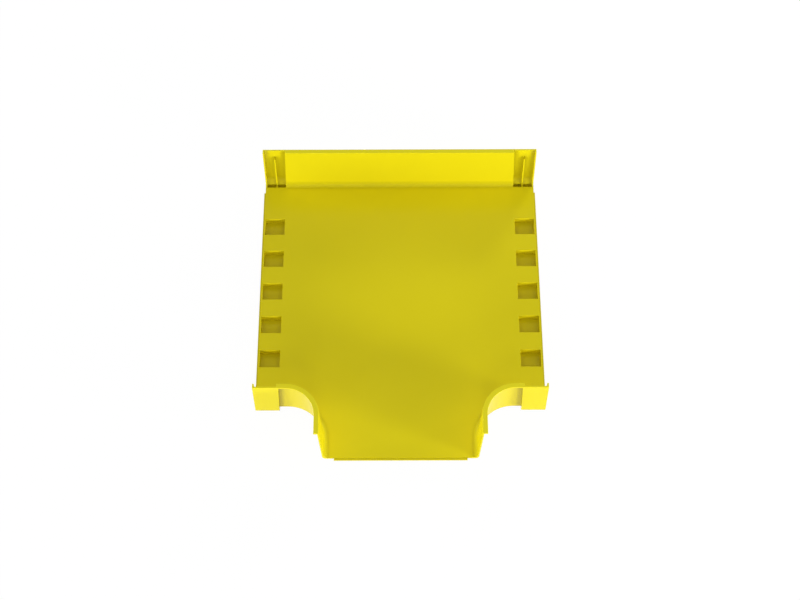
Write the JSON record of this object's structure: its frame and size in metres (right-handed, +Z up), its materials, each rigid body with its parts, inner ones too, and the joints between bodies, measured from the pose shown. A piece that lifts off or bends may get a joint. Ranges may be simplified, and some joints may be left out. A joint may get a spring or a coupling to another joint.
{
  "type": "fibre raceway tee fitting",
  "caption": "Open-topped plastic tee that joins a side run to a wide overhead fibre raceway, with curved bend walls, end sockets for couplers and latch pockets in its floor.",
  "frame": {"origin": "on the flat underside of the floor, where the centre line of the main run crosses that of the branch", "axes": "+X along the main run, +Y away from the branch, +Z up out of the open trough"},
  "size_m": [0.668, 0.7644, 0.1465],
  "materials": {
    "yellow_plastic": "moulded flame-retardant plastic, satin gloss, bright yellow"
  },
  "bodies": {
    "root": {"raceway_tee": "yellow_plastic"}
  },
  "joints": []
}
